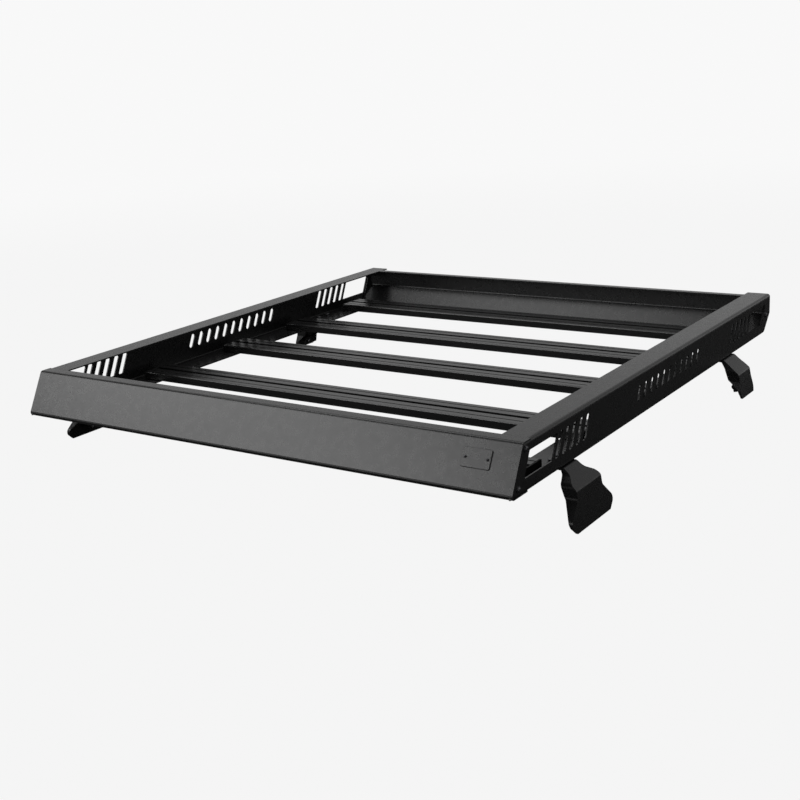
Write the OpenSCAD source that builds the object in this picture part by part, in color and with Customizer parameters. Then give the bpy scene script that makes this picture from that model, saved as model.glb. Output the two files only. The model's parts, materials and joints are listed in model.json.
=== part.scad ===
// Flat roof rack: a folded sheet tray with five grooved crossbars on four gutter feet.
// X runs across the vehicle, Y towards the rear, Z up from the level the feet stand on.

/* [Frame] */
// Width of the frame over the side rails
frame_w = 1250; // [1100:10:1400]
// Length of the side rails, from the front panel's lower edge to their rear ends
frame_l = 1355; // [1300:5:1500]
// Height of the rails and panels
frame_h = 94; // [84:1:120]
// Thickness of the folded sheet
sheet_t = 3; // [2:0.5:4]
// Inside radius of the folds
fold_r = 4; // [2:1:8]
// Height of the rails' lower edge above the ground
stand_h = 106; // [96:1:130]

/* [Side rails] */
// Width of a rail's top flange
rail_top_w = 58; // [50:1:75]
// Width of a rail's bottom flange, which carries the crossbars
rail_floor_w = 78; // [60:1:90]
// Height of the band at the lower edge that has no cut-outs
cut_z0 = 27; // [20:1:34]
// Height of the cut-outs
cut_h = 47; // [38:1:50]
// How far the top of a cut-out leans to the rear of its bottom
cut_lean = 23; // [10:1:30]
// Radius of the cut-outs' corners
cut_r = 3; // [2:0.5:5]
// Number of slits beside each window
slit_n = 5; // [3:1:6]
// Width of a slit
slit_w = 14; // [10:1:18]
// Spacing of the slits
slit_pitch = 28; // [24:1:32]
// Length of the windows
window_w = 107; // [60:1:120]
// Width of the strip between a window and its slits
window_land = 8; // [6:1:14]
// Distance from the rail's front end to the front window, at mid height
front_window = 61; // [56:1:80]
// Distance from the rail's rear end to the rear window, at mid height
rear_window = 44; // [40:1:60]
// Number of slots in the row at the middle of a rail
slot_n = 11; // [3:2:13]
// Width of a slot
slot_w = 13; // [8:1:16]
// Height of a slot
slot_h = 34; // [28:1:44]
// Spacing of the slots
slot_pitch = 32; // [28:1:36]
// Distance from the frame's middle to the middle of the slot row
slot_shift = 22; // [0:1:40]

/* [Front panel] */
// How far the front panel's lower edge stands forward of its top edge
front_lean = 50; // [20:1:60]
// Width of the front panel's top flange
front_top_w = 27; // [20:1:45]
// Width of the front panel's bottom flange
front_floor_w = 60; // [40:1:75]

/* [Rear panel] */
// Distance from the rails' rear ends to the back of the rear panel
rear_inset = 20; // [12:1:24]
// How far the rear panel's lower edge stands forward of its upper part
rear_kick = 45; // [20:1:50]
// Height of the fold between the rear panel's upper and lower parts
rear_fold_z = 46; // [38:1:56]
// Width of the rear panel's top flange
rear_top_w = 24; // [16:1:40]
// Width of the rear panel's bottom flange
rear_floor_w = 35; // [25:1:36]
// Distance kept between the windows and the tabs that join a panel to the rails
tab_land = 4; // [2:1:5]

/* [Crossbars] */
// Width of a crossbar
bar_w = 84; // [76:1:96]
// Thickness of a crossbar
bar_t = 19; // [14:1:22]
// Wall thickness of the crossbar section
bar_wall = 2.5; // [2:0.5:3]
// Width of the mouth of the slot along a crossbar's middle
mouth_w = 12; // [8:0.5:14]
// Width of the channel under the mouth
channel_w = 22; // [18:1:26]
// Width of the shallow groove on each side of the slot
groove_w = 4; // [3:0.5:6]
// Depth of the shallow grooves
groove_deep = 1.2; // [0.8:0.2:1.4]
// Distance of the shallow grooves from the slot's middle
groove_off = 25; // [20:1:28]
// Distance from the front end of the rails to the first crossbar's middle
bar_first = 128; // [124:1:140]
// Distance from the rear end of the rails to the last crossbar's middle
bar_last = 160; // [146:1:180]
// Place of each crossbar, as a share of the way from the first to the last
bar_place = [0, 0.235, 0.505, 0.752, 1];
// Distance from a rail's outer face to a crossbar's end
bar_end_gap = 30; // [26:1:34]
// Thickness of the plastic end caps
cap_t = 4; // [2:0.5:6]

/* [Corner angles] */
// Length of the arm along a rail
angle_rail_l = 100; // [60:1:120]
// Length of the arm along a panel
angle_panel_l = 120; // [80:1:160]
// Width of the arm along a rail
angle_rail_w = 20; // [14:1:21]
// Width of the arm along a panel
angle_panel_w = 28; // [20:1:30]
// Size of the corner between the two arms
angle_chamfer = 10; // [4:1:16]

/* [Feet] */
// Distance from the rails' front end to the middle of the front feet
front_foot_y = 222; // [200:1:260]
// Distance from the rails' rear end to the middle of the rear feet
rear_foot_y = 297; // [260:1:340]
// Thickness of the foot plates
foot_t = 5; // [4:0.5:6]
// Length of the foot's tab under the rail
foot_tab = 50; // [36:1:54]
// How far the knee of a foot stands out from the rail
knee_out = 37; // [25:1:45]
// How far the knee of a foot lies below the rail
knee_drop = 33; // [25:1:40]
// How far the lower end of a foot stands out from the rail
foot_out = 50; // [46:1:60]
// Depth of the side webs behind the knee
web_depth = 23; // [12:1:26]
// How far the side webs reach under the rail
web_back = 6; // [2:1:10]
// How much higher the rear feet end
rear_foot_up = 18; // [0:1:20]
// Width of a front foot at the rail, the knee, its widest and its end
front_foot_w = [54, 102, 168, 138];
// Width of a rear foot at the rail, the knee, its widest and its end
rear_foot_w = [70, 76, 84, 76];
// Radius of the curves in a foot's outline
foot_r = 11; // [4:1:11]

/* [Gutter clamps] */
// Length of a front clamp bar
front_clamp_l = 72; // [50:1:110]
// Length of a rear clamp bar
rear_clamp_l = 50; // [44:1:60]
// Thickness of the clamp bars
clamp_t = 6; // [5:1:10]
// Height of the clamp bars
clamp_h = 20; // [16:1:28]
// Thickness of the rubber strips
pad_t = 2.5; // [2:0.5:5]
// Room for the gutter between a foot's leg and its rubber strip
gutter_gap = 11; // [8:1:15]
// Radius of the studs welded to the legs
stud_r = 3; // [3:0.5:4]
// Distance of the studs from the ends of a clamp bar
stud_inset = 12; // [8:1:15]
// Distance of the studs from a foot's end
stud_up = 24; // [18:1:28]
// Length of a stud past its clamp bar
stud_end = 7; // [6:1:10]

/* [Hidden] */
$fn = 48;
fold_steps = 5;
straight = 180;
gap = 0.3;
// Where a foot is widest, as a share of the leg's height below the knee
wide_share = 0.66;

x_out = frame_w / 2;
x_web = x_out - sheet_t;
y_front = -frame_l / 2;
y_rear = frame_l / 2;
z0 = stand_h;
z1 = stand_h + frame_h;
y_crease = y_front + front_lean;
y_back = y_rear - rear_inset;
cut_mid = z0 + cut_z0 + cut_h / 2;

bar_y = [for (p = bar_place) y_front + bar_first + p * (frame_l - bar_first - bar_last)];
bar_z = z0 + sheet_t;
bar_x = x_out - bar_end_gap;

foot_end = stand_h;
front_foot = y_front + front_foot_y;
rear_foot = y_rear - rear_foot_y;

black = [0.08, 0.08, 0.085];
bar_black = [0.11, 0.11, 0.115];
rubber_black = [0.04, 0.04, 0.04];

// Unit vector along v
function unit(v) = v / norm(v);
// Vector turned a quarter turn to the left
function left(v) = [-v[1], v[0]];

// Corner of a path replaced by a short arc of radius r. Its turn is what the corner's angle
// leaves of a straight line.
function corner_arc(a, b, c, r) =
    let (
        u = unit(a - b),
        w = unit(c - b),
        half = acos(u * w) / 2,
        side = sign(left(u) * w),
        centre = b + unit(u + w) * r / sin(half),
        from = b + u * r / tan(half) - centre,
        sweep = side * (2 * half - straight)
    )
    [for (i = [0:fold_steps])
        let (t = sweep * i / fold_steps)
        centre + [from[0] * cos(t) - from[1] * sin(t), from[0] * sin(t) + from[1] * cos(t)]];

// Path with every inner corner rounded to radius r
function fold_path(p, r) = [
    p[0],
    for (i = [1:len(p) - 2]) each corner_arc(p[i - 1], p[i], p[i + 1], r),
    p[len(p) - 1]
];

// Direction in which a path is offset at point i, long enough to keep the thickness
function offset_dir(p, i) =
    let (
        n = len(p) - 1,
        n1 = left(unit(p[max(i, 1)] - p[max(i, 1) - 1])),
        n2 = left(unit(p[min(i, n - 1) + 1] - p[min(i, n - 1)]))
    )
    (n1 + n2) / (1 + n1 * n2);

// Folded sheet in section: the path is its outer face and the sheet lies to its left
module sheet_section(p, t, r) {
    path = fold_path(p, r);
    n = len(path) - 1;
    inner = [for (i = [n:-1:0]) path[i] + t * offset_dir(path, i)];
    polygon(concat(path, inner));
}

// Section drawn in the plane of Y and Z, carried along X from x_a to x_b
module along_x(x_a, x_b) {
    translate([x_a, 0, 0])
        rotate([90, 0, 90])
            linear_extrude(x_b - x_a)
                children();
}

// Section drawn in the plane of X and Z, carried along Y from y_a to y_b
module along_y(y_a, y_b) {
    translate([0, y_b, 0])
        rotate([90, 0, 0])
            linear_extrude(y_b - y_a)
                children();
}

// Same shape on the left side of the rack
module left_side() {
    mirror([1, 0, 0])
        children();
}

// Convex outline with true arcs of radius r at its corners, listed anticlockwise
module rounded_outline(p, r) {
    n = len(p);
    // Inner corners, where the arcs have their centres
    core = [for (i = [0:n - 1])
        let (
            u = unit(p[(i + n - 1) % n] - p[i]),
            w = unit(p[(i + 1) % n] - p[i]),
            half = acos(u * w) / 2
        )
        p[i] + unit(u + w) * r / sin(half)];
    polygon([for (i = [0:n - 1])
        let (out = -left(unit(core[(i + 1) % n] - core[i])))
        each [core[i] + r * out, core[(i + 1) % n] + r * out]]);
    for (c = core)
        translate(c)
            circle(r);
}

// Leaning cut-out, drawn in the plane of Y and Z about its middle
module leaning_cut(w, h, r) {
    lean = cut_lean * h / cut_h;
    rounded_outline([
        [-w / 2 - lean / 2, -h / 2],
        [w / 2 - lean / 2, -h / 2],
        [w / 2 + lean / 2, h / 2],
        [-w / 2 + lean / 2, h / 2]
    ], r);
}

// Window whose outer edge is at y_far, and the slits on side s of it (1 rear, -1 front)
module end_cuts(y_far, s) {
    translate([y_far + s * window_w / 2, cut_mid])
        leaning_cut(window_w, cut_h, cut_r);
    for (i = [0:slit_n - 1])
        translate([y_far + s * (window_w + window_land + slit_w / 2 + i * slit_pitch), cut_mid])
            leaning_cut(slit_w, cut_h, cut_r);
}

// Every cut-out of a rail's web
module rail_cuts() {
    end_cuts(y_front + front_window, 1);
    end_cuts(y_rear - rear_window, -1);
    for (i = [0:slot_n - 1])
        translate([slot_shift + (i - (slot_n - 1) / 2) * slot_pitch, cut_mid])
            leaning_cut(slot_w, slot_h, slot_w / 2 - 1);
}

// Position along Y of the front panel's outer face at height z above the rails' lower edge
function front_y(z) = y_front + front_lean * z / frame_h;
// Thickness of the leaning sheet measured along Y
front_t = sheet_t * sqrt(1 + pow(front_lean / frame_h, 2));

// How far a cut-out leans for each step up
cut_slope = cut_lean / cut_h;

// Sheet that lies against the inside of both rails' webs, drawn in the plane of Y and Z
module on_webs() {
    for (s = [-1, 1])
        along_x(s * (x_web - gap) - (s > 0 ? sheet_t : 0), s * (x_web - gap) + (s > 0 ? 0 : sheet_t))
            children();
}

// Side view of a rail: it fits behind the front panel and leans in at its rear end
module rail_side() {
    polygon([
        [front_y(sheet_t) + front_t + gap, z0 + sheet_t + gap],
        [y_front + front_floor_w + gap, z0 + sheet_t + gap],
        [y_front + front_floor_w + gap, z0],
        [y_rear - rear_kick, z0],
        [y_rear, z0 + rear_fold_z],
        [y_rear, z1],
        [y_crease + front_top_w + gap, z1],
        [y_crease + front_top_w + gap, z1 - sheet_t - gap],
        [front_y(frame_h - sheet_t) + front_t + gap, z1 - sheet_t - gap]
    ]);
}

// Right-hand side rail: a folded channel that opens inwards
module rail() {
    difference() {
        intersection() {
            along_y(y_front, y_rear)
                sheet_section([
                    [x_out - rail_floor_w, z0],
                    [x_out, z0],
                    [x_out, z1],
                    [x_out - rail_top_w, z1]
                ], sheet_t, fold_r + sheet_t);
            along_x(0, x_out + 1)
                rail_side();
        }
        along_x(x_web - fold_r, x_out + 1)
            rail_cuts();
    }
}

module front_panel() {
    color(black) {
        // Leaning face with its top and bottom flanges
        along_x(-x_out, x_out)
            sheet_section([
                [y_crease + front_top_w, z1],
                [y_crease, z1],
                [y_front, z0],
                [y_front + front_floor_w, z0]
            ], sheet_t, fold_r + sheet_t);
        // Tabs folded back along the inside of the rails, up to the windows
        end = y_front + front_window - tab_land;
        on_webs()
            polygon([
                [front_y(sheet_t) + front_t / 2, z0 + sheet_t / 2],
                [end + cut_slope * (z0 + sheet_t - cut_mid), z0 + sheet_t / 2],
                [end + cut_slope * cut_h / 2, cut_mid + cut_h / 2],
                [end + cut_slope * cut_h / 2, z1 - sheet_t / 2],
                [front_y(frame_h) + front_t / 2, z1 - sheet_t / 2]
            ]);
    }
}

// Section of the rear panel, upright above the fold and leaning forward below it
module rear_section() {
    sheet_section([
        [y_back - rear_kick - rear_floor_w, z0],
        [y_back - rear_kick, z0],
        [y_back, z0 + rear_fold_z],
        [y_back, z1],
        [y_back - rear_top_w, z1]
    ], sheet_t, fold_r + sheet_t);
}

module rear_panel() {
    color(black) {
        // Top flange between the rails' top flanges, and bottom flange between their bottom ones
        for (end = [[rail_top_w, cut_mid, z1], [rail_floor_w, z0, cut_mid]])
            intersection() {
                along_x(end[0] + gap - x_out, x_out - end[0] - gap)
                    rear_section();
                translate([-x_out, 0, end[1]])
                    cube([frame_w, frame_l, end[2] - end[1]]);
            }
        // The face alone runs on to the rails' webs, between their flanges
        intersection() {
            along_x(-x_web + gap, x_web - gap)
                rear_section();
            translate([-x_out, y_back - rear_kick - front_floor_w, z0 + sheet_t + gap])
                cube([frame_w, frame_l, frame_h - 2 * sheet_t - 2 * gap]);
        }
        // Tabs folded forward along the inside of the rails, up to the windows
        end = y_rear - rear_window + tab_land;
        low = z0 + cut_z0 / 2;
        on_webs()
            polygon([
                [end + cut_slope * (low - cut_mid), low],
                [y_back - rear_kick * (z0 + rear_fold_z - low) / rear_fold_z - sheet_t, low],
                [y_back - sheet_t / 2, z0 + rear_fold_z],
                [y_back - sheet_t / 2, cut_mid + cut_h / 2],
                [end + cut_slope * cut_h / 2, cut_mid + cut_h / 2]
            ]);
    }
}

module left_rail() {
    color(black)
        left_side()
            rail();
}

module right_rail() {
    color(black)
        rail();
}

// Outline of a crossbar's section, with small radii on its edges
module bar_outline() {
    h = bar_w / 2;
    rounded_outline([[-h, 0], [h, 0], [h, bar_t], [-h, bar_t]], bar_wall);
}

// Section of a crossbar: a slot along its middle, and a closed chamber under a shallow groove
// on each side of it
module bar_section() {
    inner_h = bar_t - 2 * bar_wall;
    side_x = channel_w / 2 + bar_wall;
    side_w = bar_w / 2 - bar_wall - side_x;
    difference() {
        bar_outline();
        translate([-channel_w / 2, bar_wall])
            square([channel_w, inner_h]);
        translate([-mouth_w / 2, bar_t / 2])
            square([mouth_w, bar_t]);
        for (s = [-1, 1]) {
            translate([s > 0 ? side_x : -side_x - side_w, bar_wall])
                square([side_w, inner_h]);
            translate([s * groove_off - groove_w / 2, bar_t - groove_deep])
                square([groove_w, bar_t]);
        }
    }
}

module crossbar(i) {
    color(bar_black)
        translate([0, bar_y[i], bar_z])
            along_x(-bar_x + cap_t, bar_x - cap_t)
                bar_section();
}

// End caps of the five crossbars on the right
module bar_caps() {
    color(rubber_black)
        for (y = bar_y)
            translate([0, y, bar_z])
                along_x(bar_x - cap_t, bar_x)
                    bar_outline();
}

// Flat angle that lies on the bottom flanges of a rail and a panel.
// y_face is the panel's inside at the floor and s points from it into the rack.
module corner_angle(y_face, s) {
    x_in = x_web - sheet_t - 2 * gap;
    color(black)
        translate([0, y_face, z0 + sheet_t])
            linear_extrude(sheet_t)
                polygon([
                    [x_in, 0],
                    [x_in, s * angle_rail_l],
                    [x_in - angle_rail_w, s * angle_rail_l],
                    [x_in - angle_rail_w, s * (angle_panel_w + angle_chamfer)],
                    [x_in - angle_rail_w - angle_chamfer, s * angle_panel_w],
                    [x_in - angle_panel_l, s * angle_panel_w],
                    [x_in - angle_panel_l, 0]
                ]);
}

// Inside of each panel at the level of the corner angles
front_face_in = front_y(2 * sheet_t + fold_r) + front_t + gap;
rear_face_in = y_back - rear_kick - sheet_t - gap;

// Inner face of a foot's leg at the knee and at its end, in X and Z from the rail's lower edge
leg_top = [knee_out - foot_t / 2, -knee_drop];
function leg_end(drop) = [foot_out - foot_t, -drop];
function leg_dir(drop) = unit(leg_end(drop) - leg_top);

// Side view of a foot's inner face: its tab, the slope to the knee and the leg
function foot_path(drop) = [
    [-foot_tab, -foot_t],
    [0, -foot_t],
    leg_top,
    leg_end(drop) + foot_t * leg_dir(drop)
];

// Front view of a foot, drawn in the plane of Y and Z below the rail
module foot_front(w, drop, inset) {
    wide_z = knee_drop + (drop - knee_drop) * wide_share;
    half = [for (v = w) v / 2 - inset];
    side = fold_path([
        [half[0], 0],
        [half[0], -knee_drop * 0.3],
        [half[1], -knee_drop * 0.7],
        [half[1], -knee_drop * 1.5],
        [half[2], -wide_z],
        [half[2], -wide_z - drop * 0.1],
        [half[3], -drop]
    ], foot_r);
    polygon([
        for (i = [len(side) - 1:-1:0]) side[i],
        for (v = side) [-v[0], v[1]]
    ]);
}

// Places its children on the inner face of a leg, stud_up above the leg's end.
// There Z runs up the leg and X points away from it, into the rack.
module on_leg(y, drop) {
    d = leg_dir(drop);
    p = leg_end(drop) - stud_up * d;
    translate([x_out + p[0], y, z0 + p[1]])
        rotate([0, atan2(-d[0], -d[1]), 0])
            rotate([0, 0, 180])
                children();
}

// Places its children at the two studs of a clamp bar of length l
module at_studs(l) {
    for (s = [-1, 1])
        translate([0, s * (l / 2 - stud_inset), 0])
            rotate([0, 90, 0])
                children();
}

// Foot on the right side, its middle at y, with two studs for a gutter clamp of length l
module foot(y, w, drop, l) {
    color(black) {
        translate([x_out, y, z0]) {
            intersection() {
                along_y(-w[2], w[2])
                    sheet_section(foot_path(drop), foot_t, fold_r);
                along_x(-foot_tab - 1, foot_out + foot_t)
                    foot_front(w, drop, 0);
            }
            // Side webs that stiffen the knee and taper out towards the end
            intersection() {
                along_y(-w[2], w[2])
                    polygon([
                        [-web_back, -foot_t / 2],
                        [0, -foot_t / 2],
                        [knee_out, -knee_drop],
                        [foot_out - foot_t / 2, -drop],
                        [foot_out - foot_t, -drop * 0.95],
                        [knee_out, -drop * 0.75],
                        [knee_out - web_depth, -knee_drop * 1.4],
                        [foot_t, -knee_drop * 0.6]
                    ]);
                along_x(-foot_tab, foot_out)
                    difference() {
                        foot_front(w, drop, 0);
                        foot_front(w, drop, foot_t);
                    }
            }
        }
        on_leg(y, drop)
            at_studs(l)
                translate([0, 0, -foot_t / 2])
                    cylinder(r = stud_r, h = foot_t / 2 + gutter_gap + pad_t + clamp_t + stud_end);
    }
}

// Bar or strip of length l and thickness t across the studs of a foot, from off to off + t
module on_studs(y, drop, l, off, t) {
    on_leg(y, drop)
        difference() {
            translate([off, -l / 2, -clamp_h / 2])
                cube([t, l, clamp_h]);
            at_studs(l)
                translate([0, 0, off - 1])
                    cylinder(r = stud_r + gap, h = t + 2);
        }
}

// Rubber strip that grips the gutter, on the right side
module clamp_pad(y, drop, l) {
    color(rubber_black)
        on_studs(y, drop, l, gutter_gap, pad_t);
}

// Bar that presses the rubber strip against the gutter, on the right side
module gutter_clamp(y, drop, l) {
    color(black)
        on_studs(y, drop, l, gutter_gap + pad_t, clamp_t);
}

rear_drop = foot_end - rear_foot_up;

module front_foot_right() {
    foot(front_foot, front_foot_w, foot_end, front_clamp_l);
}

module rear_foot_right() {
    foot(rear_foot, rear_foot_w, rear_drop, rear_clamp_l);
}

module front_clamp_right() {
    gutter_clamp(front_foot, foot_end, front_clamp_l);
}

module rear_clamp_right() {
    gutter_clamp(rear_foot, rear_drop, rear_clamp_l);
}

front_panel();
rear_panel();
left_rail();
right_rail();
crossbar(0);  // crossbar_1
crossbar(1);  // crossbar_2
crossbar(2);  // crossbar_3
crossbar(3);  // crossbar_4
crossbar(4);  // crossbar_5
left_side() bar_caps();  // bar_caps_left
bar_caps();  // bar_caps_right
left_side() corner_angle(front_face_in, 1);  // angle_front_left
corner_angle(front_face_in, 1);  // angle_front_right
left_side() corner_angle(rear_face_in, -1);  // angle_rear_left
corner_angle(rear_face_in, -1);  // angle_rear_right
left_side() front_foot_right();  // foot_front_left
front_foot_right();  // foot_front_right
left_side() rear_foot_right();  // foot_rear_left
rear_foot_right();  // foot_rear_right
left_side() front_clamp_right();  // clamp_front_left
front_clamp_right();  // clamp_front_right
left_side() rear_clamp_right();  // clamp_rear_left
rear_clamp_right();  // clamp_rear_right
left_side() clamp_pad(front_foot, foot_end, front_clamp_l);  // pad_front_left
clamp_pad(front_foot, foot_end, front_clamp_l);  // pad_front_right
left_side() clamp_pad(rear_foot, rear_drop, rear_clamp_l);  // pad_rear_left
clamp_pad(rear_foot, rear_drop, rear_clamp_l);  // pad_rear_right
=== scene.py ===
import json
import math

import bmesh
import bpy
from mathutils import Matrix, Vector


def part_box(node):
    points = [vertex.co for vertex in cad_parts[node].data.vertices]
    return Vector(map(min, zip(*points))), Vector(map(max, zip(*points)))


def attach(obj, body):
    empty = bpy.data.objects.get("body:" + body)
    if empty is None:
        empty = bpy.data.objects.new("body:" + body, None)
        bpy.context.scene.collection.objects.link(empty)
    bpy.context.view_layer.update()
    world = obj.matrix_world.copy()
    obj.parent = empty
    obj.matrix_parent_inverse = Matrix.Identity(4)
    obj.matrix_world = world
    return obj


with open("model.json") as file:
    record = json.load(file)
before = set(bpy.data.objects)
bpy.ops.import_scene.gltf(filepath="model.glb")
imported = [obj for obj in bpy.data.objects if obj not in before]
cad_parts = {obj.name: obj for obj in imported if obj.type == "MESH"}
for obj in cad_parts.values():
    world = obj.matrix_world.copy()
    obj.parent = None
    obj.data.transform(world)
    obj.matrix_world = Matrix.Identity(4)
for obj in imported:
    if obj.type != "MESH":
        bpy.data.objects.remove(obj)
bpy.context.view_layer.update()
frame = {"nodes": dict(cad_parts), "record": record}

NODES = frame["nodes"]
BODY = "root"

# Camera that the photograph's straight edges give: place in metres, turns in degrees, lens and
# sensor width in millimetres
CAMERA_AT = (1.6246, -2.4099, 0.8856)
CAMERA_TURN = 35.13
CAMERA_DOWN = 16.33
CAMERA_ROLL = -3.45
CAMERA_LENS = 55.86
CAMERA_SENSOR = 36

# Colours, linear
PAPER = 0.94
FRAME_BLACK = (0.0075, 0.0075, 0.0077)
BAR_BLACK = (0.0075, 0.0075, 0.0077)
FOOT_BLACK = (0.0080, 0.0080, 0.0082)
CAP_BLACK = (0.0070, 0.0070, 0.0070)
RUBBER_BLACK = (0.0060, 0.0060, 0.0060)
BOLT_STEEL = (0.09, 0.09, 0.095)
BADGE_BLACK = (0.014, 0.014, 0.0145)

# Share of mirror reflection at right angles, on the shader's scale where 0.5 is plain plastic
COAT_SPECULAR = 0.5
BAR_SPECULAR = 0.9
SOFT_SPECULAR = 0.2
PLASTIC_IOR = 1.5

# Lowest and highest roughness of each finish, and for the soft ones how far it goes to each
# side of their own
COAT_ROUGHNESS = (0.26, 0.30)
BAR_ROUGHNESS = (0.24, 0.30)
STEEL_ROUGHNESS = (0.28, 0.46)
SOFT_ROUGHNESS_SPREAD = 0.06

# How much a colour is darkened and lightened by mottling
COAT_MOTTLE = (0.88, 1.12)
SOFT_MOTTLE = (0.80, 1.25)
STEEL_MOTTLE = (0.70, 1.30)

# Paler along sharp edges, partly for a thinner coat there and partly as a painted highlight on the
# edges: how much paler it is and how far it reaches, and the turn of the surface, as a cosine, at
# which it starts and is full
THIN_COAT_AND_HIGHLIGHT_PALER = 2.2
THIN_COAT_AND_HIGHLIGHT_REACH = 0.0012
THIN_COAT_AND_HIGHLIGHT_START = 0.995
THIN_COAT_AND_HIGHLIGHT_FULL = 0.90

# Part of a noise's range that is spread over the whole range asked for
NOISE_MIDDLE = (0.3, 0.7)

# Small rounds on every CAD edge: radius in metres, segments, and the least turn in degrees that
# counts as an edge. SHARP_TURN is that turn for the shading of the small parts.
EDGE_ROUND = 0.0004
EDGE_STEPS = 2
EDGE_TURN = 40
SHARP_TURN = 35

# Sizes of the CAD model that the small parts sit on, in metres: outer face and underside of the
# rails, sheet, height and front of the frame, and how far the front panel leans over that height
RAIL_OUT = 0.625
RAIL_Z = 0.106
SHEET = 0.003
FRAME_H = 0.094
FRONT_Y = -0.6775
FRONT_LEAN = 0.050

# Screws on each rail's outer face, as Y and Z
WEB_SCREWS = ((-0.650, 0.1205), (-0.619, 0.1860), (0.6465, 0.1515))

# Screws under the crossbars, at this X and this far from each bar's middle
BAR_Y = [sum(c[1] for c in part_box("crossbar_%d" % k)) / 2 for k in range(1, 6)]
BAR_SCREW_X = 0.580
BAR_SCREW_Y = 0.033

# Bolts of each foot, as Y of the foot and half their distance, and the foot's thickness
FOOT_T = 0.005
FOOT_BOLT_X = 0.595
FOOT_BOLTS = ((-0.4555, 0.014), (0.3805, 0.020))

# Corner angles: middle of the arm along the rail, top face, and for each its outer edge and the
# signed length of that arm. Then the screws' places, as shares of that arm and, on the other
# arm, as distances inwards.
ANGLE_ARM_X = 0.6084
ANGLE_TOP = RAIL_Z + 2 * SHEET
ANGLE_SCREWS = ((-0.666, 0.1), (0.609, -0.1))
ANGLE_ALONG = (0.45, 0.85)
ANGLE_ACROSS = 0.14
ANGLE_INWARDS = (0.040, 0.090)

# Clamp nuts: top of the foot's leg in section, outwards from the rail's face and up from its
# underside, how far out its lower end is, height of the studs along the leg, distance inwards
# from the leg to the clamp's back, and for each foot its Y, half the studs' distance and the
# drop of its lower end
LEG_TOP = (0.0345, -0.033)
LEG_END_OUT = 0.045
STUD_UP = 0.024
CLAMP_BACK = 0.0195
CLAMP_NUTS = ((-0.4555, 0.024, 0.106), (0.3805, 0.013, 0.088))

# Bare plate on the front panel: X and height of its middle, size, corners, chamfer, depth of its
# back in the panel and distance of its screws from its ends
BADGE_X = 0.541
BADGE_UP = 0.059
BADGE_SIZE = (0.060, 0.037, 0.0024)
BADGE_CORNER = 0.004
BADGE_CORNER_STEPS = 6
BADGE_CHAMFER = 0.0010
BADGE_SUNK = 0.0005
BADGE_SCREW_IN = 0.007

# Radius of each screw's head and washer
FRAME_SCREW = (0.0048, 0.0070)
FOOT_SCREW = (0.0062, 0.0090)
BADGE_SCREW = (0.0024, 0.0030)
# Each nut's half width over flats, height, bore and washer radius
CLAMP_NUT = (0.0050, 0.0047, 0.0031, 0.0064)
FOOT_NUT = (0.0065, 0.0060, 0.0002, 0.0088)
# Washers: thickness under a screw and under a nut, rounded edge, and the hidden inner edge
# under a screw's head as a share of that head's radius
SCREW_WASHER_T = 0.0013
NUT_WASHER_T = 0.0011
WASHER_EDGE = 0.0003
WASHER_INNER = 0.6
# Turns in radians: from one web screw to the next, from one crossbar's screws to the next, and
# of the nuts, at the middle of their pair and for each metre from it
WEB_TURN = 0.4
BAR_TURN = 0.5
FOOT_NUT_TURN = (0.3, 9)
CLAMP_NUT_TURN = (0.2, 7)
# Nut in section: height of its base, share of its half width that is left at its chamfers,
# height of the lower chamfer, depths at which the upper one starts and ends, and chamfer and
# depth of its bore
NUT_BASE = 0.0010
NUT_RIM = 0.97
NUT_LOWER = 0.0006
NUT_UPPER = (0.0010, 0.0002)
NUT_BORE_EDGE = 0.0008
NUT_BORE_DEPTH = 0.0030
# Button head in section: share of its radius, height, and number of sides, 0 being round
BUTTON_HEAD = ((0.50, 0.0008, 0), (0.96, 0.0012, 0), (1.00, 0.0016, 0), (0.97, 0.0022, 0),
               (0.88, 0.0029, 0), (0.72, 0.0035, 0), (0.56, 0.0038, 0), (0.36, 0.0038, 6),
               (0.34, 0.0035, 6), (0.34, 0.0020, 6))
TURNED_SIDES = 24

# World: brightness at each height, given as the sine of the elevation, towards the two pale
# walls, which stand behind the rack on the left and in front of it on the right, and between
# them. WALL_WAY points at one wall, and WALL_FADE is the range of the cosine to it or to the
# other one over which the wall fades in.
SKY_WALL = ((0.05, 0.94), (0.13, 0.58), (0.30, 0.46), (0.74, 0.32))
SKY_OPEN = ((0.045, 0.94), (0.08, 0.26), (0.30, 0.22), (0.74, 0.16))
WALL_WAY = (-0.53, 0.85, 0.0)
WALL_FADE = (0.1, 0.7)

# Floor: its own grey, which takes the light and the shadow, and the share of plain pale
# colour over it near the object, as the camera sees it and as reflections do. From FLOOR_NEAR
# to FLOOR_FAR the share rises to 1 for both, so reflections there show the same background.
FLOOR_GREY = 0.04
FLOOR_SHARE_CAMERA = 0.97
FLOOR_SHARE_GLOSSY = 0.02
FLOOR_NEAR = 2.5
FLOOR_FAR = 6.0
FLOOR_HALF = 60

# Soft boxes: name, place, the point they face, width and height, and radiance. One stands in
# front on the left, and two hang overhead, on the left and on the right.
SOFTBOXES = (
    ("front_box", (-1.85, -2.60, 1.50), (0, -0.3, 0.15), (2.6, 1.2), 3.65),
    ("top_box", (-1.40, -0.05, 2.80), (0, 0.4, 0.15), (1.4, 1.4), 2.2),
    ("over_box", (0.90, 0.50, 2.60), (0, 0.1, 0.15), (1.6, 1.6), 2.9),
)


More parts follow.
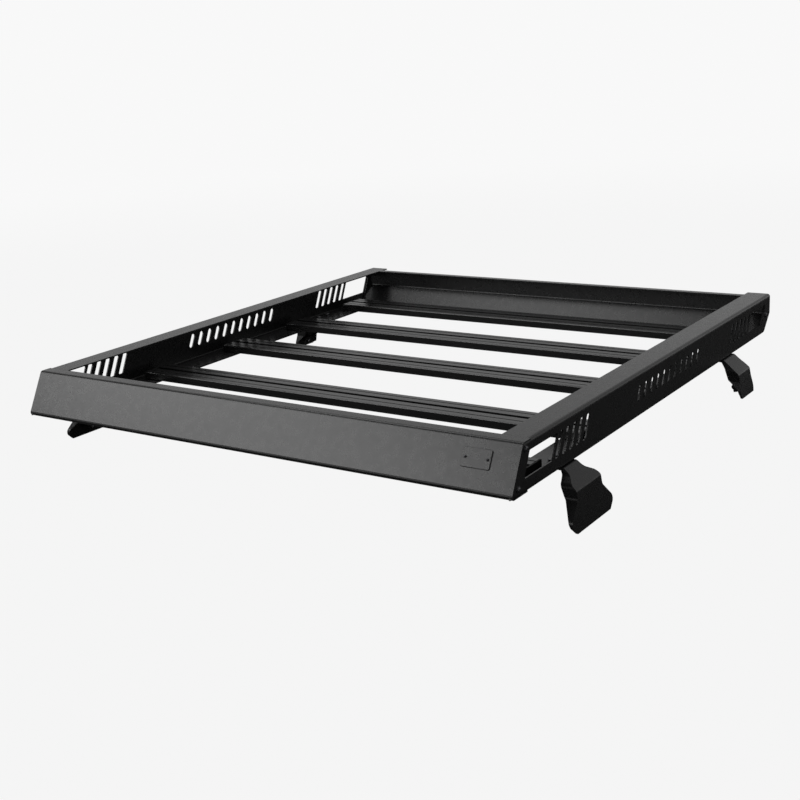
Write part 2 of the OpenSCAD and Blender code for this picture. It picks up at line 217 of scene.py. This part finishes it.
def make_camera():
    """Camera at the photograph's viewing angle."""
    data = bpy.data.cameras.new("camera")
    data.lens = CAMERA_LENS
    data.sensor_width = CAMERA_SENSOR
    camera = bpy.data.objects.new("camera", data)
    turn = Matrix.Rotation(math.radians(CAMERA_TURN), 4, "Z")
    tilt = Matrix.Rotation(math.radians(90 - CAMERA_DOWN), 4, "X")
    roll = Matrix.Rotation(math.radians(CAMERA_ROLL), 4, "Z")
    camera.matrix_world = Matrix.Translation(CAMERA_AT) @ turn @ tilt @ roll
    bpy.context.scene.collection.objects.link(camera)
    bpy.context.scene.camera = camera


class Shader:
    """A node material, with short calls for the nodes that every finish here shares."""

    def __init__(self, name):
        self.material = bpy.data.materials.new(name)
        self.material.use_nodes = True
        self.tree = self.material.node_tree
        self.surface = self.tree.nodes["Principled BSDF"]
        self.place = self.tree.nodes.new("ShaderNodeTexCoord").outputs["Object"]

    def node(self, kind, **settings):
        made = self.tree.nodes.new(kind)
        for key, value in settings.items():
            setattr(made, key, value)
        return made

    def link(self, source, target):
        self.tree.links.new(source, target)

    def stretched(self, scale):
        """Object coordinates scaled by a different amount along each axis."""
        mapping = self.node("ShaderNodeMapping")
        mapping.inputs["Scale"].default_value = scale
        self.link(self.place, mapping.inputs["Vector"])
        return mapping.outputs["Vector"]

    def noise(self, scale, detail, vector=None):
        """Noise with that many features a metre."""
        noise = self.node("ShaderNodeTexNoise")
        noise.inputs["Scale"].default_value = scale
        noise.inputs["Detail"].default_value = detail
        self.link(vector or self.place, noise.inputs["Vector"])
        return noise.outputs["Fac"]

    def spread(self, value, low, high):
        """The middle of a noise, spread over low to high."""
        spread = self.node("ShaderNodeMapRange")
        spread.inputs["From Min"].default_value = NOISE_MIDDLE[0]
        spread.inputs["From Max"].default_value = NOISE_MIDDLE[1]
        spread.inputs["To Min"].default_value = low
        spread.inputs["To Max"].default_value = high
        self.link(value, spread.inputs["Value"])
        return spread.outputs["Result"]

    def tinted(self, value, colour, low, high):
        """A colour made darker or lighter by a noise."""
        mix = self.node("ShaderNodeMix", data_type="RGBA")
        mix.inputs["A"].default_value = (*[c * low for c in colour], 1)
        mix.inputs["B"].default_value = (*[c * high for c in colour], 1)
        self.link(value, mix.inputs["Factor"])
        return mix.outputs["Result"]

    def bump(self, height, strength, distance, below=None):
        """Bump from a height, on top of an earlier one."""
        bump = self.node("ShaderNodeBump")
        bump.inputs["Strength"].default_value = strength
        bump.inputs["Distance"].default_value = distance
        self.link(height, bump.inputs["Height"])
        if below:
            self.link(below, bump.inputs["Normal"])
        return bump.outputs["Normal"]

    def edges(self, radius):
        """1 on sharp outer edges, 0 on flat faces: for thinner coat and painted highlight on
        edges.
        """
        bevel = self.node("ShaderNodeBevel", samples=4)
        bevel.inputs["Radius"].default_value = radius
        flat = self.node("ShaderNodeNewGeometry").outputs["Normal"]
        across = self.node("ShaderNodeVectorMath", operation="DOT_PRODUCT")
        self.link(bevel.outputs["Normal"], across.inputs[0])
        self.link(flat, across.inputs[1])
        mask = self.node("ShaderNodeMapRange")
        mask.inputs["From Min"].default_value = THIN_COAT_AND_HIGHLIGHT_START
        mask.inputs["From Max"].default_value = THIN_COAT_AND_HIGHLIGHT_FULL
        self.link(across.outputs["Value"], mask.inputs["Value"])
        return mask.outputs["Result"]

    def set(self, **values):
        """Constants on the shader's own sockets."""
        for key, value in values.items():
            self.surface.inputs[key.replace("_", " ")].default_value = value

    def surface_from(self, **sources):
        """Nodes that drive the shader's sockets."""
        for key, source in sources.items():
            self.link(source, self.surface.inputs[key.replace("_", " ")])


def powder_coat(name, colour, grain):
    """Satin black powder coat: fine orange peel, slight mottling, and paler edges, partly a
    thinner coat and partly painted highlight.
    """
    s = Shader(name)
    s.set(Metallic=0.0, IOR=PLASTIC_IOR, Specular_IOR_Level=COAT_SPECULAR)
    cloud = s.noise(scale=9, detail=3)
    peel = s.noise(scale=grain, detail=3)
    speck = s.noise(scale=grain * 4, detail=1)
    base = s.tinted(s.spread(cloud, 0, 1), colour, *COAT_MOTTLE)
    # Paler sharp edges: partly a thinner coat, partly a painted highlight along the edges
    thin_coat_and_highlight = s.node("ShaderNodeMix", data_type="RGBA")
    thin_coat_and_highlight.inputs["B"].default_value = (*[c * THIN_COAT_AND_HIGHLIGHT_PALER for c in colour], 1)
    s.link(s.edges(THIN_COAT_AND_HIGHLIGHT_REACH), thin_coat_and_highlight.inputs["Factor"])
    s.link(base, thin_coat_and_highlight.inputs["A"])
    roughness = s.spread(s.noise(scale=60, detail=4), *COAT_ROUGHNESS)
    relief = s.bump(peel, strength=0.22, distance=0.0004)
    relief = s.bump(speck, strength=0.12, distance=0.0001, below=relief)
    s.surface_from(Base_Color=thin_coat_and_highlight.outputs["Result"], Roughness=roughness, Normal=relief)
    return s.material


def extruded_coat(name, colour):
    """Coated extrusion: the same finish with faint die lines along the bar."""
    s = Shader(name)
    s.set(Metallic=0.0, IOR=PLASTIC_IOR, Specular_IOR_Level=BAR_SPECULAR)
    lines = s.noise(scale=1, detail=3, vector=s.stretched((3, 900, 900)))
    peel = s.noise(scale=700, detail=2)
    cloud = s.noise(scale=7, detail=3)
    relief = s.bump(lines, strength=0.14, distance=0.0002)
    relief = s.bump(peel, strength=0.12, distance=0.0002, below=relief)
    s.surface_from(Base_Color=s.tinted(s.spread(cloud, 0, 1), colour, *COAT_MOTTLE),
                   Roughness=s.spread(lines, *BAR_ROUGHNESS), Normal=relief)
    return s.material


def soft_black(name, colour, roughness, grain):
    """Moulded plastic or rubber: matt, with a fine spark-eroded grain."""
    s = Shader(name)
    s.set(Metallic=0.0, IOR=PLASTIC_IOR, Specular_IOR_Level=SOFT_SPECULAR)
    cloud = s.noise(scale=40, detail=3)
    patches = s.noise(scale=60, detail=2)
    relief = s.bump(s.noise(scale=grain, detail=2), strength=0.35, distance=0.0003)
    s.surface_from(Base_Color=s.tinted(s.spread(cloud, 0, 1), colour, *SOFT_MOTTLE),
                   Roughness=s.spread(patches, roughness - SOFT_ROUGHNESS_SPREAD,
                                      roughness + SOFT_ROUGHNESS_SPREAD),
                   Normal=relief)
    return s.material


def plated_steel(name, colour):
    """Dark zinc plate on small fasteners."""
    s = Shader(name)
    s.set(Metallic=1.0)
    cloud = s.noise(scale=160, detail=3)
    patches = s.noise(scale=240, detail=2)
    relief = s.bump(s.noise(scale=900, detail=2), strength=0.15, distance=0.0001)
    s.surface_from(Base_Color=s.tinted(s.spread(cloud, 0, 1), colour, *STEEL_MOTTLE),
                   Roughness=s.spread(patches, *STEEL_ROUGHNESS), Normal=relief)
    return s.material


def dress_frame():
    """Gives each CAD node its finish and small rounds on its edges."""
    finishes = {
        "frame_coat": powder_coat("frame_coat", FRAME_BLACK, grain=900),
        "bar_coat": extruded_coat("bar_coat", BAR_BLACK),
        "foot_coat": powder_coat("foot_coat", FOOT_BLACK, grain=1100),
        "cap_plastic": soft_black("cap_plastic", CAP_BLACK, roughness=0.55, grain=1500),
        "rubber": soft_black("rubber", RUBBER_BLACK, roughness=0.8, grain=1200),
        "fasteners": plated_steel("fasteners", BOLT_STEEL),
        "badge": powder_coat("badge", BADGE_BLACK, grain=2200),
    }
    slots = {p["node"]: p["material_slot"] for p in frame["record"]["subparts"]}
    for name, piece in NODES.items():
        piece.data.materials.clear()
        piece.data.materials.append(finishes[slots[name]])
        rounds = piece.modifiers.new("edge_rounds", "BEVEL")
        rounds.width = EDGE_ROUND
        rounds.segments = EDGE_STEPS
        rounds.limit_method = "ANGLE"
        rounds.angle_limit = math.radians(EDGE_TURN)
        rounds.harden_normals = True
    return finishes


def mesh_piece(name, bm, finish):
    """Turns a bmesh into a piece that rides on the rack, with smooth rounds and sharp corners."""
    bmesh.ops.recalc_face_normals(bm, faces=bm.faces[:])
    mesh = bpy.data.meshes.new(name)
    bm.to_mesh(mesh)
    bm.free()
    mesh.shade_smooth()
    mesh.set_sharp_from_angle(angle=math.radians(SHARP_TURN))
    mesh.materials.append(finish)
    piece = bpy.data.objects.new(name, mesh)
    bpy.context.scene.collection.objects.link(piece)
    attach(piece, BODY)


def add_skin(bm, rows):
    """Faces between neighbouring rows of vertices, and over the first and the last row."""
    for low, high in zip(rows, rows[1:]):
        for k in range(len(low)):
            n = (k + 1) % len(low)
            bm.faces.new((low[k], low[n], high[n], high[k]))
    bm.faces.new(rows[0])
    bm.faces.new(rows[-1])


def add_turned(bm, rings, matrix):
    """Adds a closed turned shape: rings of (radius, height, sides), where sides 0 is round and
    6 is a hexagon whose flats lie at that radius."""
    rows = []
    for radius, height, sides in rings:
        row = []
        for k in range(TURNED_SIDES):
            turn = 2 * math.pi * k / TURNED_SIDES
            reach = radius
            if sides:
                part = math.pi / sides
                reach = radius / math.cos(turn % (2 * part) - part)
            spot = matrix @ Vector((reach * math.cos(turn), reach * math.sin(turn), height))
            row.append(bm.verts.new(spot))
        rows.append(row)
    add_skin(bm, rows)


def add_washer(bm, matrix, radius, thickness, inner):
    """Flat washer with rounded edges."""
    rim = radius - WASHER_EDGE
    add_turned(bm, [(rim, 0, 0), (radius, WASHER_EDGE, 0), (radius, thickness - WASHER_EDGE, 0),
                    (rim, thickness, 0), (inner, thickness, 0)], matrix)


def button_screw(bm, matrix, radius, washer):
    """Button head with a hexagon socket, on a washer, seated at the matrix and facing its Z."""
    add_washer(bm, matrix, washer, SCREW_WASHER_T, radius * WASHER_INNER)
    rings = [(radius * share, height, sides) for share, height, sides in BUTTON_HEAD]
    add_turned(bm, rings, matrix)


def hex_nut(bm, matrix, flats, height, bore, washer):
    """Hexagon nut on a washer, seated at the matrix and facing its Z."""
    add_washer(bm, matrix, washer, NUT_WASHER_T, bore)
    base, top = NUT_BASE, NUT_BASE + height
    rim = flats * NUT_RIM
    add_turned(bm, [(bore, base, 0), (rim, base, 0), (flats, base + NUT_LOWER, 6),
                    (flats, top - NUT_UPPER[0], 6), (rim, top - NUT_UPPER[1], 0),
                    (bore + NUT_BORE_EDGE, top, 0), (bore, top - NUT_BORE_EDGE, 0),
                    (bore, top - NUT_BORE_DEPTH, 0)], matrix)


def seat(place, facing, turn=0.0):
    """Matrix at a place whose Z axis faces that way."""
    way = Vector(facing).to_track_quat("Z", "Y").to_matrix().to_4x4()
    return Matrix.Translation(place) @ way @ Matrix.Rotation(turn, 4, "Z")


def make_fasteners(finishes):
    """Screws and nuts at each joint of the rack, one piece for each side and kind."""
    steel = finishes["fasteners"]
    down, up = (0, 0, -1), (0, 0, 1)
    for side, s in (("left", -1), ("right", 1)):
        bm = bmesh.new()
        for k, (y, z) in enumerate(WEB_SCREWS):
            place = seat((s * RAIL_OUT, y, z), (s, 0, 0), WEB_TURN * k)
            button_screw(bm, place, *FRAME_SCREW)
        mesh_piece("web_screws_" + side, bm, steel)

        bm = bmesh.new()
        for k, y in enumerate(BAR_Y):
            for d in (-BAR_SCREW_Y, BAR_SCREW_Y):
                place = seat((s * BAR_SCREW_X, y + d, RAIL_Z), down, BAR_TURN * k)
                button_screw(bm, place, *FRAME_SCREW)
        mesh_piece("bar_screws_" + side, bm, steel)

        bm = bmesh.new()
        for y, half in FOOT_BOLTS:
            for d in (-half, half):
                x, turn = s * FOOT_BOLT_X, FOOT_NUT_TURN[0] + d * FOOT_NUT_TURN[1]
                button_screw(bm, seat((x, y + d, RAIL_Z - FOOT_T), down), *FOOT_SCREW)
                hex_nut(bm, seat((x, y + d, RAIL_Z + SHEET), up, turn), *FOOT_NUT)
        mesh_piece("foot_bolts_" + side, bm, steel)

        bm = bmesh.new()
        for y, d in ANGLE_SCREWS:
            spots = [(ANGLE_ARM_X, y + share * d) for share in ANGLE_ALONG]
            spots += [(ANGLE_ARM_X - inwards, y + ANGLE_ACROSS * d) for inwards in ANGLE_INWARDS]
            for x, along in spots:
                button_screw(bm, seat((s * x, along, ANGLE_TOP), up), *FRAME_SCREW)
        mesh_piece("angle_screws_" + side, bm, steel)

        bm = bmesh.new()
        for y, half, drop in CLAMP_NUTS:
            leg = Vector((LEG_END_OUT - LEG_TOP[0], -drop - LEG_TOP[1]))
            leg.normalize()
            inward = Vector((leg[1], -leg[0]))
            spot = Vector((LEG_END_OUT, -drop)) - leg * STUD_UP + inward * CLAMP_BACK
            for d in (-half, half):
                place = (s * (RAIL_OUT + spot[0]), y + d, RAIL_Z + spot[1])
                facing = (s * inward[0], 0, inward[1])
                turn = CLAMP_NUT_TURN[0] + d * CLAMP_NUT_TURN[1]
                hex_nut(bm, seat(place, facing, turn), *CLAMP_NUT)
        mesh_piece("clamp_nuts_" + side, bm, steel)


def make_badge(finishes):
    """Bare plate on the front panel, held by two small screws."""
    lean = math.atan2(FRONT_LEAN, FRAME_H)
    up = Vector((0, math.sin(lean), math.cos(lean)))
    face = Vector((0, -math.cos(lean), math.sin(lean)))
    middle = Vector((BADGE_X, FRONT_Y + FRONT_LEAN * BADGE_UP / FRAME_H, RAIL_Z + BADGE_UP))
    turn = Matrix((Vector((1, 0, 0)), up, face)).transposed().to_4x4()
    matrix = Matrix.Translation(middle) @ turn
    bm = bmesh.new()
    w, h, t = BADGE_SIZE[0] / 2, BADGE_SIZE[1] / 2, BADGE_SIZE[2]
    c = BADGE_CORNER
    outline = []
    for sx, sy, a0 in ((1, 1, 0), (-1, 1, 90), (-1, -1, 180), (1, -1, 270)):
        for k in range(BADGE_CORNER_STEPS + 1):
            a = math.radians(a0 + 90 / BADGE_CORNER_STEPS * k)
            outline.append((sx * (w - c), sy * (h - c), math.cos(a), math.sin(a)))
    rows = []
    for inset, z in ((0, -BADGE_SUNK), (0, t - BADGE_CHAMFER), (BADGE_CHAMFER, t)):
        r = c - inset
        rows.append([bm.verts.new(matrix @ Vector((x + r * ca, y + r * sa, z)))
                     for x, y, ca, sa in outline])
    add_skin(bm, rows)
    mesh_piece("badge_plate", bm, finishes["badge"])
    bm = bmesh.new()
    for d in (-1, 1):
        spot = matrix @ Matrix.Translation((d * (w - BADGE_SCREW_IN), 0, t))
        button_screw(bm, spot, *BADGE_SCREW)
    mesh_piece("badge_screws", bm, finishes["fasteners"])


def make_stage():
    """Wide level floor under the rack."""
    mesh = bpy.data.meshes.new("floor")
    bm = bmesh.new()
    bmesh.ops.create_grid(bm, x_segments=1, y_segments=1, size=FLOOR_HALF)
    bm.to_mesh(mesh)
    bm.free()
    floor = bpy.data.objects.new("floor", mesh)
    bpy.context.scene.collection.objects.link(floor)
    mesh.materials.append(floor_material())


def floor_material():
    """Matt floor under plain pale colour, of which each kind of ray sees its own share near the
    object and all of it far away."""
    material = bpy.data.materials.new("floor")
    material.use_nodes = True
    tree = material.node_tree
    surface = tree.nodes["Principled BSDF"]
    surface.inputs["Base Color"].default_value = (FLOOR_GREY, FLOOR_GREY, FLOOR_GREY, 1)
    surface.inputs["Roughness"].default_value = 1
    surface.inputs["Specular IOR Level"].default_value = 0
    pale = tree.nodes.new("ShaderNodeEmission")
    pale.inputs["Color"].default_value = (PAPER, PAPER, PAPER, 1)

    place = tree.nodes.new("ShaderNodeTexCoord")
    distance = tree.nodes.new("ShaderNodeVectorMath")
    distance.operation = "LENGTH"
    tree.links.new(place.outputs["Object"], distance.inputs[0])
    path = tree.nodes.new("ShaderNodeLightPath")
    seen = None
    for ray, near in (("Is Camera Ray", FLOOR_SHARE_CAMERA), ("Is Glossy Ray", FLOOR_SHARE_GLOSSY),
                      ("Is Transmission Ray", FLOOR_SHARE_CAMERA)):
        share = smooth_range(tree, distance.outputs["Value"], FLOOR_NEAR, FLOOR_FAR, near, 1)
        part = math_node(tree, "MULTIPLY", path.outputs[ray], share)
        seen = math_node(tree, "MAXIMUM", seen, part) if seen else part
    mix = tree.nodes.new("ShaderNodeMixShader")
    tree.links.new(seen, mix.inputs["Fac"])
    tree.links.new(surface.outputs["BSDF"], mix.inputs[1])
    tree.links.new(pale.outputs["Emission"], mix.inputs[2])
    tree.links.new(mix.outputs["Shader"], tree.nodes["Material Output"].inputs["Surface"])
    return material


def math_node(tree, operation, *values):
    """Math node of one or two values."""
    node = tree.nodes.new("ShaderNodeMath")
    node.operation = operation
    for value, socket in zip(values, node.inputs):
        tree.links.new(value, socket)
    return node.outputs["Value"]


def smooth_range(tree, value, start, end, low, high):
    """Goes smoothly from low to high while the value goes from start to end."""
    node = tree.nodes.new("ShaderNodeMapRange")
    node.interpolation_type = "SMOOTHSTEP"
    node.inputs["From Min"].default_value = start
    node.inputs["From Max"].default_value = end
    node.inputs["To Min"].default_value = low
    node.inputs["To Max"].default_value = high
    tree.links.new(value, node.inputs["Value"])
    return node.outputs["Result"]


def make_world():
    """World with a pale horizon and two pale walls facing each other, the same for every ray."""
    world = bpy.data.worlds.new("world")
    bpy.context.scene.world = world
    world.use_nodes = True
    tree = world.node_tree
    way = tree.nodes.new("ShaderNodeTexCoord")
    parts = tree.nodes.new("ShaderNodeSeparateXYZ")
    tree.links.new(way.outputs["Generated"], parts.inputs["Vector"])
    towards = tree.nodes.new("ShaderNodeVectorMath")
    towards.operation = "DOT_PRODUCT"
    towards.inputs[1].default_value = WALL_WAY
    tree.links.new(way.outputs["Generated"], towards.inputs[0])
    either = math_node(tree, "ABSOLUTE", towards.outputs["Value"])
    mix = tree.nodes.new("ShaderNodeMix")
    mix.data_type = "RGBA"
    tree.links.new(smooth_range(tree, either, *WALL_FADE, 0, 1), mix.inputs["Factor"])
    for name, heights in (("A", SKY_OPEN), ("B", SKY_WALL)):
        level = tree.nodes.new("ShaderNodeValToRGB")
        stops = level.color_ramp.elements
        # The ramp has two stops from the start
        for k, (height, value) in enumerate(heights):
            stop = stops[k] if k < 2 else stops.new(height)
            stop.position = height
            stop.color = (value, value, value, 1)
        tree.links.new(parts.outputs["Z"], level.inputs["Fac"])
        tree.links.new(level.outputs["Color"], mix.inputs[name])
    tree.links.new(mix.outputs["Result"], tree.nodes["Background"].inputs["Color"])


def softbox(name, place, target, size, radiance):
    """Rectangular soft box at place, facing target, as bright as radiance says."""
    data = bpy.data.lights.new(name, "AREA")
    data.shape = "RECTANGLE"
    data.size, data.size_y = size
    data.energy = radiance * math.pi * size[0] * size[1]
    lamp = bpy.data.objects.new(name, data)
    lamp.location = place
    lamp.rotation_euler = (Vector(target) - Vector(place)).to_track_quat("-Z", "Y").to_euler()
    bpy.context.scene.collection.objects.link(lamp)


bpy.context.scene.view_settings.view_transform = "Standard"
make_camera()
finishes = dress_frame()
make_fasteners(finishes)
make_badge(finishes)
make_stage()
make_world()
for box in SOFTBOXES:
    softbox(*box)
